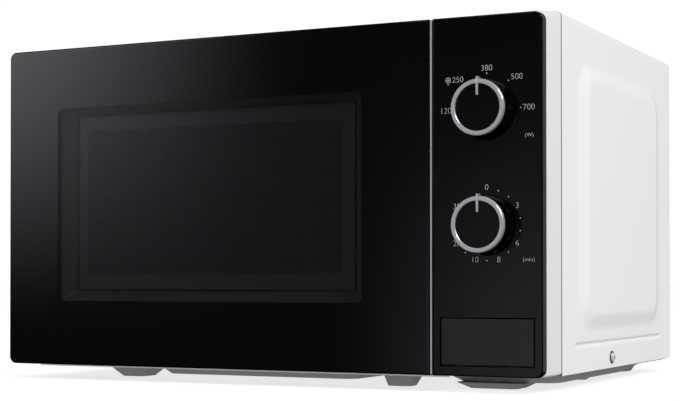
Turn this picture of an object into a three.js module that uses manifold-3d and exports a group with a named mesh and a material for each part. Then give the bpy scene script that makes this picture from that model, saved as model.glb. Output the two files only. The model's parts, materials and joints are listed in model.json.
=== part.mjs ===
// A countertop microwave oven with two dials and a push-button door, in millimetres, +Z up.
// The exported group's origin is on the floor under the middle of the oven; the door faces -Y.
// Inside the group everything is drawn with y = 0 on the front glass and y growing towards the back.
import * as THREE from "three";
import { mergeVertices } from "three/addons/utils/BufferGeometryUtils.js";
import Module from "manifold-3d";

const wasm = await Module();
wasm.setup();

// ---------------------------------------------------------------- driving dimensions
const WIDTH = 442; // over the raised fields on the two sides
const HEIGHT = 259; // floor to the top of the cabinet
const BODY_DEPTH = 329; // front glass to the back of the cabinet
const KNOB_REACH = 18; // dial faces stand this far in front of the glass
const FRONT_WIDTH = 436.4; // door and control panel together
const FRONT_BOTTOM = 10.9; // lower edge of the door and the control panel
const FRONT_TOP = 253.2;
const SPLIT_X = 138.65; // the door ends and the control panel starts here
const SPLIT_GAP = 1.8;
const CORNER = 5.5; // radius of the outer corners of the door and the control panel
const HOOD_CORNER = 4; // radius of the cabinet's long upper edges
const SHEET = 1; // steel sheet
const GAP = 0.3; // clearance between pieces that touch on the real oven

const HALF_FRONT = FRONT_WIDTH / 2;
const DOOR = { x0: -HALF_FRONT, x1: SPLIT_X - SPLIT_GAP / 2, z0: FRONT_BOTTOM, z1: FRONT_TOP };
const PANEL = { x0: SPLIT_X + SPLIT_GAP / 2, x1: HALF_FRONT, z0: FRONT_BOTTOM, z1: FRONT_TOP };
const CABINET = { half: HALF_FRONT - 0.5, z0: FRONT_BOTTOM - 0.6, y0: 41, y1: BODY_DEPTH };
const FIELD_RAISE = WIDTH / 2 - CABINET.half; // the raised field on each side of the cabinet
const CAVITY = { x0: -203, x1: 101, y0: 38.3, y1: 320, z0: 30, z1: 238 }; // inner faces
const FRONT_PLATE_Y = 37;
const PLATES_FROM = 15.5; // lower edge of the front plate and of the back panel
const LIP_Z = 7.6; // behind the door the front plate hangs down this far, as a lip that shows below it
const BASE_FRONT = FRONT_PLATE_Y + SHEET + 2 * GAP; // front edge of the base plate
const WINDOW = { x0: -172.35, x1: 86.05, z0: 59.7, z1: 207.2 }; // clear field of the front glass

const TABLE = { x: -51, y: 180, radius: 127.5, floor: CAVITY.z0 };
const ROLLER = { radius: 7.5, width: 5, orbit: 88, count: 3 };

const DIAL_X = 179.15;
const POWER_Z = 189.5;
const TIMER_Z = 112.2;
const BUTTON = { x0: 146.05, x1: 212.05, z0: 18.3, z1: 49.6 };

const HINGE = { x: -209, y: 24, pin: 3 };
const LATCH = { x0: 117, x1: 122, lowerZ: 64, upperZ: 188, travel: 3 };
const LEVER = { y: 43.5, z: 54 }; // axle of the lever between the button and the latch
const SIDE_SCREW = { y: 158, z: 18.1 };

// The raised field on each side: its foot outline, its flat top outline, and their corner radii.
const FIELD_FOOT = { y0: 76, y1: 292, z0: 39.7, z1: 228.7, radius: 24 };
const FIELD_TOP = { y0: 95, y1: 273, z0: 51.2, z1: 219.2, radius: 12 };

// ---------------------------------------------------------------- solids
// A closed geometry as a manifold solid, turned right side out.
function solid(geometry) {
  const bare = geometry.clone();
  for (const name of Object.keys(bare.attributes)) {
    if (name !== "position") bare.deleteAttribute(name);
  }
  const merged = mergeVertices(bare, 1e-4);
  const vertProperties = merged.attributes.position.array;
  const triVerts = new Uint32Array(merged.index.array);
  const made = new wasm.Manifold(new wasm.Mesh({ numProp: 3, vertProperties, triVerts }));
  if (made.volume() >= 0) return made;
  const turned = triVerts.slice();
  for (let i = 0; i < turned.length; i += 3) {
    turned[i + 1] = triVerts[i + 2];
    turned[i + 2] = triVerts[i + 1];
  }
  return new wasm.Manifold(new wasm.Mesh({ numProp: 3, vertProperties, triVerts: turned }));
}

function geometryOf(made) {
  const mesh = made.getMesh();
  return new THREE.BufferGeometry()
    .setAttribute("position", new THREE.BufferAttribute(new Float32Array(mesh.vertProperties), 3))
    .setIndex(new THREE.BufferAttribute(new Uint32Array(mesh.triVerts), 1));
}

const join = (first, ...rest) =>
  geometryOf(rest.reduce((whole, piece) => whole.add(solid(piece)), solid(first)));

const cut = (first, ...tools) =>
  geometryOf(tools.reduce((whole, tool) => whole.subtract(solid(tool)), solid(first)));

// ---------------------------------------------------------------- plain shapes
function block(x0, x1, y0, y1, z0, z1) {
  return new THREE.BoxGeometry(x1 - x0, y1 - y0, z1 - z0)
    .translate((x0 + x1) / 2, (y0 + y1) / 2, (z0 + z1) / 2);
}

// A rectangle with its own radius at each corner: [low left, low right, high right, high left].
function rectangle(u0, u1, v0, v1, radii = [0, 0, 0, 0]) {
  const [a, b, c, d] = radii;
  const shape = new THREE.Shape();
  const corner = (u, v, r, from) => {
    if (r) shape.absarc(u, v, r, from, from + Math.PI / 2, false);
    else shape.lineTo(u, v);
  };
  shape.moveTo(u0 + a, v0);
  corner(u1 - b, v0 + b, b, -Math.PI / 2);
  corner(u1 - c, v1 - c, c, 0);
  corner(u0 + d, v1 - d, d, Math.PI / 2);
  corner(u0 + a, v0 + a, a, Math.PI);
  return shape;
}

// A shape drawn in x and z, as thick as y0 to y1.
function slab(shape, y0, y1, steps = 3) {
  return new THREE.ExtrudeGeometry(shape, { depth: y1 - y0, bevelEnabled: false, curveSegments: steps })
    .rotateX(Math.PI / 2)
    .translate(0, y1, 0);
}

// A shape drawn in x and y, as thick as z0 to z1.
function plate(shape, z0, z1, steps = 3) {
  return new THREE.ExtrudeGeometry(shape, { depth: z1 - z0, bevelEnabled: false, curveSegments: steps })
    .translate(0, 0, z0);
}

// A round bar along "x", "y" or "z", from one end to the other, centred at (u, v) on the two other axes.
function bar(axis, radius, from, to, u, v, sides = 20) {
  const made = new THREE.CylinderGeometry(radius, radius, to - from, sides);
  const middle = (from + to) / 2;
  if (axis === "x") return made.rotateZ(-Math.PI / 2).translate(middle, u, v);
  if (axis === "z") return made.rotateX(Math.PI / 2).translate(u, v, middle);
  return made.translate(u, middle, v);
}

// A profile of [radius, height] points turned about the y axis, or about z.
function turned(profile, sides, axis = "y") {
  const made = new THREE.LatheGeometry(profile.map(([r, h]) => new THREE.Vector2(r, h)), sides);
  return axis === "z" ? made.rotateX(Math.PI / 2) : made;
}

// A closed body through outlines with the same number of corners, each one further along.
function loft(...outlines) {
  const count = outlines[0].length;
  const last = (outlines.length - 1) * count;
  const position = new Float32Array(outlines.flat().flatMap((p) => [p.x, p.y, p.z]));
  const index = [];
  for (let i = 0; i < count; i += 1) {
    const next = (i + 1) % count;
    for (let from = 0; from < last; from += count) {
      const to = from + count;
      index.push(from + i, from + next, to + next, from + i, to + next, to + i);
    }
    if (i > 0 && i < count - 1) index.push(0, i + 1, i, last, last + i, last + i + 1);
  }
  return new THREE.BufferGeometry()
    .setAttribute("position", new THREE.BufferAttribute(position, 3))
    .setIndex(index);
}

// The corners of a rounded rectangle, placed in space by "place"; one radius, or one for each corner.
function outline(u0, u1, v0, v1, radius, place, steps = 3) {
  const radii = Array.isArray(radius) ? radius : [radius, radius, radius, radius];
  const points = rectangle(u0, u1, v0, v1, radii).getPoints(steps);
  const unique = points.filter((p, i) => i === 0 || p.distanceTo(points[i - 1]) > 1e-6);
  if (unique[0].distanceTo(unique[unique.length - 1]) < 1e-6) unique.pop();
  return unique.map((p) => place(p.x, p.y));
}

// A coil spring along "y" or "z": a round wire on a helix with its ends cut square.
function spring(axis, radius, wire, from, to, turns, u, v) {
  const steps = turns * 6;
  const points = Array.from({ length: steps + 1 }, (_, i) => {
    const angle = (i / steps) * turns * 2 * Math.PI;
    const along = from + wire + ((to - from - 2 * wire) * i) / steps;
    const across = [u + radius * Math.cos(angle), v + radius * Math.sin(angle)];
    return axis === "y"
      ? new THREE.Vector3(across[0], along, across[1])
      : new THREE.Vector3(across[0], across[1], along);
  });
  const section = new THREE.Shape();
  section.absarc(0, 0, wire / 2, 0, 2 * Math.PI, false);
  return new THREE.ExtrudeGeometry(section, {
    steps,
    curveSegments: 3,
    extrudePath: new THREE.CatmullRomCurve3(points),
  });
}

// ---------------------------------------------------------------- materials
const finish = (color, roughness, metalness = 0) =>
  new THREE.MeshStandardMaterial({ color, roughness, metalness, flatShading: true });

const WHITE_PAINT = finish(0xe9e9e9, 0.35);
const WHITE_PLASTIC = finish(0xe4e4e6, 0.4);
const BLACK_GLASS = finish(0x0b0c0e, 0.06);
const BLACK_GLOSS = finish(0x101114, 0.12);
const BLACK_PLASTIC = finish(0x17181a, 0.45);
const SCREEN_PAINT = finish(0x3a3c40, 0.5, 0.2);
const CLEAR_GLASS = finish(0xdfe8ea, 0.05);
const CHROME = finish(0xd8d8da, 0.15, 1);
const GALVANISED = finish(0x8b8d90, 0.45, 0.8);
const ENAMEL = finish(0xb9bbbd, 0.4);
const GREY_PLASTIC = finish(0x62646a, 0.5);
const NATURAL_PLASTIC = finish(0xd9d5c9, 0.5);
const COPPER = finish(0xa85b32, 0.35, 0.9);
const CORE_STEEL = finish(0x4b4a48, 0.55, 0.7);
const ALUMINIUM = finish(0xb7b9bc, 0.35, 0.9);
const SPRING_STEEL = finish(0x9a9c9e, 0.3, 0.9);
const MICA = finish(0xb59f7c, 0.6);
const BOARD_GREEN = finish(0x2f6b45, 0.5);

const oven = new THREE.Group();
oven.position.y = -(BODY_DEPTH + KNOB_REACH) / 2 + KNOB_REACH;

function add(name, geometry, material, x = 0, y = 0, z = 0) {
  const mesh = new THREE.Mesh(geometryOf(solid(geometry)), material);
  mesh.name = name;
  mesh.position.set(x, y, z);
  oven.add(mesh);
  return mesh;
}

// ---------------------------------------------------------------- casing
// The raised field on a side of the cabinet: a low frustum, drawn for the right-hand side.
function sideField(inset) {
  const shrunk = ({ y0, y1, z0, z1, radius }, x) =>
    outline(y0 + inset, y1 - inset, z0 + inset, z1 - inset, radius, (y, z) => new THREE.Vector3(x, y, z));
  const wall = CABINET.half - inset;
  const raised = loft(shrunk(FIELD_TOP, wall + FIELD_RAISE), shrunk(FIELD_FOOT, wall));
  const root = loft(shrunk(FIELD_FOOT, wall + 0.01), shrunk(FIELD_FOOT, wall - 3));
  return join(raised, root);
}

function outerCabinet() {
  const { half, z0, y0, y1 } = CABINET;
  const hood = (inset) =>
    rectangle(
      -half + inset, half - inset, z0 - 20, HEIGHT - inset,
      [0, 0, HOOD_CORNER - inset, HOOD_CORNER - inset],
    );
  const left = (piece) => piece.clone().scale(-1, 1, 1);
  const outer = join(slab(hood(0), y0, y1), sideField(0), left(sideField(0)));
  const inner = join(slab(hood(SHEET), y0 - 5, y1 - SHEET), sideField(SHEET), left(sideField(SHEET)));
  const rearOpening = block(-half + 12, half - 12, y1 - 5, y1 + 5, z0 - 30, HEIGHT - 12);
  const below = block(-half - 5, half + 5, y0 - 10, y1 + 10, z0 - 40, z0);
  const screwHole = bar("x", 2.2, half - 5, half + 5, SIDE_SCREW.y, SIDE_SCREW.z, 10);
  return cut(outer, inner, rearOpening, below, screwHole);
}

function rearPanel() {
  const y0 = CABINET.y1 - SHEET - GAP - SHEET;
  const edge = CABINET.half - SHEET - GAP;
  const top = HEIGHT - SHEET - GAP;
  const sheet = slab(
    rectangle(-edge, edge, PLATES_FROM, top, [0, 0, HOOD_CORNER, HOOD_CORNER]), y0, y0 + SHEET);
  const slots = [];
  for (let row = 0; row < 9; row += 1) {
    for (let column = 0; column < 3; column += 1) {
      const x = 122 + column * 28;
      const z = 75 + row * 10;
      slots.push(block(x, x + 22, y0 - 2, y0 + 3, z, z + 4));
    }
  }
  const inlet = slab(rectangle(178, 194, 34, 46), y0 - 2, y0 + 3);
  return cut(sheet, ...slots, inlet);
}

// A pressed well in the base, down to "low": its walls lean in by "lean", and by "rear" at the back.
function well({ x0, x1, y0, y1, low, lean, rear, radius }, top, inset) {
  const at = (z) => (x, y) => new THREE.Vector3(x, y, z);
  return loft(
    outline(x0 + inset, x1 - inset, y0 + inset, y1 - inset, radius, at(top)),
    outline(
      x0 + lean + inset, x1 - lean * 0.3 - inset, y0 + lean * 0.3 + inset, y1 - rear - inset,
      radius, at(low + inset),
    ),
  );
}

const WELLS = [
  { x0: -112, x1: 62, y0: 42, y1: 300, low: 3.5, lean: 10, rear: 18, radius: 10 },
  { x0: 126, x1: 214.8, y0: 44, y1: 268, low: 4.6, lean: 12, rear: 52, radius: 12 },
];

function basePlate() {
  const top = CABINET.z0;
  const sheet = plate(rectangle(-215.2, 215.2, BASE_FRONT, BODY_DEPTH - 4.5, [6, 10, 0, 0]), top - SHEET, top);
  const pressed = join(sheet, ...WELLS.map((one) => well(one, top, 0)));
  const opened = WELLS.map((one) => well(one, top + 1, SHEET));
  const vents = [];
  for (let i = 0; i < 7; i += 1) {
    vents.push(block(141 + i * 9, 145 + i * 9, 172, 204, 0, 20));
  }
  const standing = loft(
    outline(83, 109, BASE_FRONT + 0.4, 62, 5, (x, y) => new THREE.Vector3(x, y, top - SHEET)),
    outline(87, 105, BASE_FRONT + 1.4, 56, 4, (x, y) => new THREE.Vector3(x, y, 0)),
  );
  const bump = turned([[0, 0.8], [5, 0.8], [8, 2.6], [9, 5.5], [0, 5.5]], 18, "z").translate(193, 157, 0);
  return join(cut(pressed, ...opened, ...vents), standing, bump);
}

function foot(name, x, y, top, width, length, lean) {
  const at = (z) => (u, v) => new THREE.Vector3(u, v, z);
  const body = loft(
    outline(-width / 2 - lean, width / 2 + lean, -length / 2 - lean, length / 2 + lean, 7, at(top)),
    outline(-width / 2, width / 2, -length / 2, length / 2, 5, at(0)),
  );
  add(name, body, GREY_PLASTIC, x, y, 0);
}

function frontPlate() {
  const { half } = CABINET;
  const y = FRONT_PLATE_Y;
  const edge = half - SHEET - GAP;
  const top = HEIGHT - SHEET - GAP;
  const skin = rectangle(-edge, edge, PLATES_FROM, top, [0, 0, HOOD_CORNER, HOOD_CORNER]);
  const inside = rectangle(-edge + SHEET, edge - SHEET, PLATES_FROM + SHEET, top - SHEET, [0, 0, 3, 3]);
  const tray = cut(slab(skin, y, y + 10), slab(inside, y + SHEET, y + 20));
  const lip = block(-edge, SPLIT_X - 2, y, y + SHEET, LIP_Z, PLATES_FROM + SHEET);
  const mouth = block(CAVITY.x0, CAVITY.x1, y - 5, y + 5, CAVITY.z0, CAVITY.z1);
  const controls = block(146, 210, y - 5, y + 5, 24, 248);
  const leverWay = block(130, 147, y - 5, y + 5, 28, 66);
  const slots = [LATCH.lowerZ, LATCH.upperZ].map((z) =>
    block(LATCH.x0 - 3, LATCH.x1 + 5, y - 5, y + 5, z - 8, z + 8 + LATCH.travel + 3));
  return cut(join(tray, lip), mouth, controls, leverWay, ...slots);
}

function ovenCavity() {
  const { x0, x1, y0, y1, z0, z1 } = CAVITY;
  const shell = cut(
    block(x0 - SHEET, x1 + SHEET, y0, y1 + SHEET, z0 - SHEET, z1 + SHEET),
    block(x0, x1, y0 - 5, y1, z0, z1),
  );
  const drive = bar("z", 9, z0 - 5, z0 + 5, TABLE.x, TABLE.y);
  const feed = block(x1 - 5, x1 + 5, 135, 205, 165, 205);
  const lampHoles = [];
  const exhaust = [];
  for (let i = 0; i < 4; i += 1) {
    lampHoles.push(block(x1 - 5, x1 + 5, 76 + i * 6, 79 + i * 6, 196, 214));
  }
  for (let i = 0; i < 8; i += 1) {
    exhaust.push(block(x0 - 5, x0 + 5, 220 + i * 9, 224 + i * 9, 190, 222));
  }
  return cut(shell, drive, feed, ...lampHoles, ...exhaust);
}

add("outer_cabinet", outerCabinet(), WHITE_PAINT);
add("rear_panel", rearPanel(), GALVANISED);
add("base_plate", basePlate(), GALVANISED);
add("front_plate", frontPlate(), WHITE_PAINT);
add("oven_cavity", ovenCavity(), ENAMEL);
const FOOT_TOP = CABINET.z0 - SHEET - GAP;
foot("foot_front_left", -139, 63, FOOT_TOP, 20, 22, 9);
foot("foot_front_right", 166, 57, WELLS[1].low - GAP, 35, 26, 8);
foot("foot_rear_left", -168, 290, FOOT_TOP, 24, 22, 5);
foot("foot_rear_right", 180, 294, FOOT_TOP, 24, 22, 5);

// A pan-head screw through the foot of the cabinet wall, its thread into the base.
function sideScrew() {
  const head = turned([[0, 3], [2.6, 3], [4, 1.8], [4, GAP], [0, GAP]], 16);
  return join(head, bar("y", 1.8, -6, GAP + 0.01, 0, 0, 10)).rotateZ(-Math.PI / 2);
}
add("side_screw_right", sideScrew(), CHROME, CABINET.half, SIDE_SCREW.y, SIDE_SCREW.z);

// The bush in the back where the mains lead comes through.
function cordInlet() {
  const body = block(-7.6, 7.6, -9, 2.4, -5.6, 5.6);
  const rim = block(-10, 10, 1.5, 2.6, -8, 8);
  const bore = bar("y", 3.6, -20, 20, 0, 0, 14);
  return cut(join(body, rim), bore);
}
add("cord_inlet", cordInlet(), BLACK_PLASTIC, 186, CABINET.y1 - 2.6, 40);

// ---------------------------------------------------------------- control panel
const buttonWindow = (grow, y0, y1) =>
  block(BUTTON.x0 - grow, BUTTON.x1 + grow, y0, y1, BUTTON.z0 - grow, BUTTON.z1 + grow);

function controlFascia() {
  const { x0, x1, z0, z1 } = PANEL;
  const face = slab(rectangle(x0, x1, z0, z1, [1, CORNER, CORNER, 1]), 0, 8.2, 4);
  const pocket = slab(rectangle(x0 + 2.5, x1 - 2.5, z0 + 2.5, z1 - 2.5, [0, 3, 3, 0]), 2.5, 12);
  const holes = [POWER_Z, TIMER_Z].map((z) => bar("y", 6, -5, 10, DIAL_X, z));
  return cut(face, pocket, ...holes, buttonWindow(0.8, -5, 10));
}

// The white moulding behind the fascia: its top climbs from the fascia's edge to the cabinet's.
function controlHousing() {
  const { x0, x1, z0 } = PANEL;
  const y0 = 8.5;
  const y1 = CABINET.y0 - GAP;
  const section = (y, top) =>
    outline(x0, x1, z0, top, [1, CORNER, HOOD_CORNER, 1], (x, z) => new THREE.Vector3(x, y, z), 4);
  const body = loft(section(y1, HEIGHT), section(y0, FRONT_TOP + 0.9));
  const hollow = slab(rectangle(x0 + 2, x1 - 2, z0 + 2, FRONT_TOP - 2, [0, 3, 3, 0]), y0 + 2, y1 + 20);
  const holes = [POWER_Z, TIMER_Z].map((z) => bar("y", 6, 0, 20, DIAL_X, z));
  const edge = CABINET.half - SHEET;
  const plateSeat = slab(
    rectangle(x0 - 5, edge, z0 + 0.9, HEIGHT - SHEET, [0, 0, HOOD_CORNER - SHEET, 0]),
    FRONT_PLATE_Y - GAP, y1 + 5);
  const shell = cut(body, hollow, ...holes, buttonWindow(2.4, 0, 15));
  const springSeat = block(174, 186, 24, 26.5, z0 + 1, 45);
  return cut(join(shell, springSeat), plateSeat);
}

add("control_fascia", controlFascia(), BLACK_GLOSS);
add("control_housing", controlHousing(), WHITE_PLASTIC);

const KNOB = { face: 15.8, ring: 18.7, foot: 20.5, sides: 32 };
const POINTER_FROM = 8; // the pointer starts this far from the dial's axis

function knobBody() {
  const { face, ring, foot: base, sides } = KNOB;
  const front = -KNOB_REACH + 0.4;
  const grip = turned([
    [0, front], [face, front], [face, -15.3], [ring, -15.3], [base, -0.8], [base - 1.5, -0.8],
    [base - 3, -13.5], [5.8, -13.5], [5.8, -2.5], [3.3, -2.5], [3.3, -12], [0, -12],
  ], sides);
  return cut(grip, block(-1.2, 1.2, -20, -16.7, POINTER_FROM - GAP, 25));
}

function knobRing() {
  const { face, ring, sides } = KNOB;
  const inner = face + GAP;
  const band = turned([
    [inner, -15.6], [inner, -17.5], [inner + 0.5, -18], [ring - 0.5, -18], [ring, -17.5], [ring, -15.6],
    [inner, -15.6],
  ], sides);
  return cut(band, block(-1.2, 1.2, -20, -16.7, POINTER_FROM - GAP, 25));
}

function knobPointer() {
  const tip = KNOB.ring + GAP + 0.7;
  const face = block(-0.9, 0.9, -KNOB_REACH, -17, POINTER_FROM, tip);
  return join(face, block(-0.9, 0.9, -KNOB_REACH, -14.5, tip - 0.6, tip));
}

const dialShaft = () => bar("y", 3, -11.5, 15.5, 0, 0, 16);

for (const [name, z] of [["power", POWER_Z], ["timer", TIMER_Z]]) {
  add(`${name}_knob`, knobBody(), BLACK_GLOSS, DIAL_X, 0, z);
  add(`${name}_knob_ring`, knobRing(), CHROME, DIAL_X, 0, z);
  add(`${name}_knob_pointer`, knobPointer(), CHROME, DIAL_X, 0, z);
  add(`${name}_shaft`, dialShaft(), ALUMINIUM, DIAL_X, 0, z);
}

// A boxed switch or timer behind the panel, with a round bearing for its shaft.
function dialUnit(half, depth) {
  const body = block(-half, half, 12, 12 + depth, -half, half);
  const neck = bar("y", 5.4, 10.9, 12.5, 0, 0, 16);
  return cut(join(body, neck), bar("y", 3.4, 0, 16, 0, 0, 16));
}
add("power_selector", dialUnit(20, 20), NATURAL_PLASTIC, DIAL_X, 0, POWER_Z);
add("timer_unit", dialUnit(27, 32), GALVANISED, DIAL_X, 0, TIMER_Z);

function releaseButton() {
  const { x0, x1, z0, z1 } = BUTTON;
  const face = block(x0, x1, 0.2, 3.2, z0, z1);
  const stem = block(148.5, 156, 3, 41, 29, 34);
  return join(face, stem);
}
add("release_button", releaseButton(), BLACK_GLOSS);
add("button_spring", spring("y", 4.5, 0.9, 3.5, 23.7, 6, 180, 36), SPRING_STEEL);

// The lever turns about an axle along x: the button's stem pushes its arm, its finger lifts the latch.
function releaseLever() {
  const barrel = bar("x", 3.5, 133.5, 156, LEVER.y, LEVER.z, 14);
  const arm = block(147, 155, LEVER.y - 1.9, LEVER.y + 2.5, 28, LEVER.z);
  const finger = block(115.5, 137, 49.5, 57, LEVER.z - 0.5, LATCH.lowerZ - 7);
  const web = block(133.5, 137, LEVER.y, 57, LEVER.z - 2, LATCH.lowerZ - 7);
  return join(barrel, arm, finger, web);
}
add("release_lever", releaseLever(), NATURAL_PLASTIC);

// ---------------------------------------------------------------- door
const doorOutline = () => rectangle(DOOR.x0, DOOR.x1, DOOR.z0, DOOR.z1, [CORNER, 1, 1, CORNER]);

function doorFrame() {
  const back = 34;
  const round = 8;
  const body = slab(doorOutline(), 4.3, back, 4);
  const rearCorner = cut(
    block(DOOR.x0 - 1, DOOR.x0 + round, back - round, back + 1, 0, HEIGHT),
    bar("z", round, -10, HEIGHT + 10, DOOR.x0 + round, back - round, 24),
  );
  const opening = block(WINDOW.x0, WINDOW.x1, 0, 20, WINDOW.z0, WINDOW.z1);
  const pocket = block(-199, 133, 12, 50, 19, 250);
  const notches = [
    block(-230, -200, 10, 50, 249.7, 270),
    block(-230, -200, 10, 50, 0, 19.5),
  ];
  const bores = [
    bar("z", HINGE.pin + 0.4, 238, 260, HINGE.x, HINGE.y, 16),
    bar("z", HINGE.pin + 0.4, 0, 28, HINGE.x, HINGE.y, 16),
  ];
  return cut(body, rearCorner, opening, pocket, ...notches, ...bores);
}

function doorScreen() {
  const pan = block(-196, 112, 12.3, 29, 24, 246);
  const hollow = block(-196 + 1.2, 112 - 1.2, 13.5, 40, 24 + 1.2, 246 - 1.2);
  return cut(pan, hollow);
}

const CHOKE = { x0: -198.5, x1: 132.6, z0: 19.5, z1: 249.5, y0: 31, y1: 35.2 };
const INNER_VIEW = { x0: -175, x1: 88, z0: 60, z1: 212 };

function chokeFrame() {
  const { x0, x1, z0, z1, y0, y1 } = CHOKE;
  const ring = slab(rectangle(x0, x1, z0, z1, [4, 4, 4, 4]), y0, y1);
  const view = slab(
    rectangle(INNER_VIEW.x0, INNER_VIEW.x1, INNER_VIEW.z0, INNER_VIEW.z1, [5, 5, 5, 5]), y0 - 5, y1 + 5);
  const ways = [LATCH.lowerZ, LATCH.upperZ].map((z) =>
    block(LATCH.x0 - 1.5, LATCH.x1 + 1.5, y0 - 5, y1 + 5, z - 7, z + 8 + LATCH.travel + 1.5));
  return cut(ring, view, ...ways);
}

// One moulded latch: a bar in the door with an upper and a lower hook that reach into the oven.
function doorLatch() {
  const { x0, x1, lowerZ, upperZ } = LATCH;
  const spine = block(x0, x1, 15, 28, lowerZ - 6, 214);
  const hooks = [lowerZ, upperZ].flatMap((z) => [
    block(x0, x1, 27, 57, z, z + 8),
    block(x0, x1, 50, 57, z - 6, z + 1),
  ]);
  return join(spine, ...hooks);
}

function hinge(armZ, pinFrom, pinTo, flangeZ0, flangeZ1) {
  const arm = block(-214, -203.5, 19.5, FRONT_PLATE_Y - GAP, armZ, armZ + 1.5);
  const flange = block(-214, -200.5, 35.5, FRONT_PLATE_Y - GAP, flangeZ0, flangeZ1);
  return join(arm, flange, bar("z", HINGE.pin, pinFrom, pinTo, HINGE.x, HINGE.y, 16));
}

add("door_glass", slab(doorOutline(), 0, 4, 4), BLACK_GLASS);
add("door_frame", doorFrame(), BLACK_PLASTIC);
add("door_screen", doorScreen(), SCREEN_PAINT);
add("inner_window", block(-182, 95, 29.3, 30.7, 53, 219), CLEAR_GLASS);
add("choke_frame", chokeFrame(), BLACK_PLASTIC);
add("door_latch", doorLatch(), NATURAL_PLASTIC);
add("latch_spring", spring("z", 3, 0.8, 214.3, 249.4, 7, 119.5, 22), SPRING_STEEL);
add("upper_hinge", hinge(251.5, 240.5, 252.5, 236, 253), GALVANISED);
add("lower_hinge", hinge(13.6, 14, 26, 13.6, 32), GALVANISED);

// ---------------------------------------------------------------- door interlock
function interlockBracket() {
  const wall = block(129, 132, 39, 80, 50, 210);
  const fingerWay = block(128, 133, 48, 59, 45, 64.5);
  const catches = [LATCH.lowerZ, LATCH.upperZ].map((z) => block(113, 130, 40, 46, z - 12, z - 6.6));
  const guards = [LATCH.lowerZ, LATCH.upperZ].map((z) => block(108, 130, 66, 70, z - 8, z + 14));
  return join(cut(wall, fingerWay), ...catches, ...guards);
}

// A snap-action switch: its body, three terminals at the back and a short plunger facing the hook.
function snapSwitch() {
  const body = block(0, 10, 0, 28, 0, 16);
  const terminals = [3, 12, 21].map((y) => block(9, 15, y, y + 4, 7.6, 8.4));
  const plunger = block(3.5, 6.5, 5, 8, 15.5, 17.5);
  return join(body, ...terminals, plunger);
}

add("interlock_bracket", interlockBracket(), NATURAL_PLASTIC);
add("primary_switch", snapSwitch(), BLACK_PLASTIC, 132.3, 48, 172);
add("monitor_switch", snapSwitch(), GREY_PLASTIC, 132.3, 48, 110);
add("secondary_switch", snapSwitch(), BLACK_PLASTIC, 132.3, 48, 72);

// ---------------------------------------------------------------- power and cooling
const WALL = CAVITY.x1 + SHEET + GAP; // the outer face of the cavity's right wall, with its clearance

function waveguide() {
  const duct = block(WALL, WALL + 40, 125, 215, 150, 236);
  const hollow = block(WALL - 5, WALL + 39, 126, 214, 151, 235);
  const antennaWay = bar("x", 14, WALL + 30, WALL + 50, 170, 193, 20);
  return cut(duct, hollow, antennaWay);
}

function magnetron() {
  const x0 = WALL + 40 + GAP;
  const ends = [block(x0, x0 + 2, 128, 212, 152, 234), block(x0 + 46, x0 + 48, 128, 212, 152, 234)];
  const sides = [block(x0, x0 + 48, 128, 130, 152, 234), block(x0, x0 + 48, 210, 212, 152, 234)];
  const core = bar("x", 20, x0 + 1, x0 + 47, 170, 193, 20);
  const fins = Array.from({ length: 5 }, (_, i) => {
    const x = x0 + 10 + i * 6.5;
    return block(x, x + 1, 129, 211, 156, 230);
  });
  const antenna = bar("x", 9, x0 - 24, x0 + 2, 170, 193, 16);
  const filterBox = block(x0 + 47, x0 + 68, 145, 195, 168, 218);
  return join(ends[0], ends[1], ...sides, core, ...fins, antenna, filterBox);
}

const TRANSFORMER = { x0: 126.5, x1: 207.5, y0: 100, y1: 160, z0: 12, z1: 82 };

function transformerCore() {
  const { x0, x1, y0, y1, z0, z1 } = TRANSFORMER;
  const windows = [12, 50].map((dx) => block(x0 + dx, x0 + dx + 19, y0 - 5, y1 + 5, z0 + 14, z1 - 14));
  return cut(block(x0, x1, y0, y1, z0, z1), ...windows);
}

function winding(z0, z1) {
  const { x0, y0, y1 } = TRANSFORMER;
  const outer = rectangle(x0 + 12.4, x0 + 68.6, y0 - 14, y1 + 14, [10, 10, 10, 10]);
  const leg = block(x0 + 30.6, x0 + 50.4, y0 - 0.4, y1 + 0.4, z0 - 5, z1 + 5);
  return cut(plate(outer, z0, z1), leg);
}

function capacitor() {
  const can = plate(rectangle(-26, 26, -16, 16, [15.9, 15.9, 15.9, 15.9]), 0, 92, 4);
  const lugs = [-12, 6].map((x) => block(x, x + 6, -0.5, 0.5, 91, 102));
  return join(can, ...lugs);
}

const FAN = { x: 160, z: 115, radius: 47 };

function fanShroud() {
  const { x, z, radius } = FAN;
  const board = block(x - 52, x + 52, 296, 298, 50, 205);
  const collar = cut(bar("y", radius + 5, 280, 298, x, z, 28), bar("y", radius + 3, 270, 310, x, z, 28));
  const way = bar("y", radius + 3, 290, 310, x, z, 28);
  const arms = [-1, 1].map((side) => {
    const middle = x + side * 26.5;
    return block(middle - 2.5, middle + 2.5, 252, 297, z + 46.5, z + 56);
  });
  return join(cut(join(board, collar), way), ...arms);
}

function fanMotor() {
  const { x, z } = FAN;
  const stack = block(x - 28, x + 28, 250, 270, z - 26, z + 26);
  const tail = block(x - 30, x + 30, 250, 251.5, z + 20, z + 56);
  const coil = bar("x", 13, x - 14, x + 14, 260, z - 32, 14);
  return cut(join(stack, tail, coil), bar("y", 2.6, 240, 280, x, z, 12));
}

function fanBlade() {
  const { radius } = FAN;
  const hub = turned([[0, 276], [8, 276], [10, 279], [10, 292], [0, 292]], 16);
  const vane = block(7, radius, -1, 1, -11, 11);
  const vanes = Array.from({ length: 5 }, (_, i) =>
    vane.clone().rotateX(THREE.MathUtils.degToRad(58)).translate(0, 285, 0)
      .rotateY((i * 2 * Math.PI) / 5));
  const shaft = bar("y", 2, 248, 277, 0, 0, 12);
  return join(hub, shaft, ...vanes);
}

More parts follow.
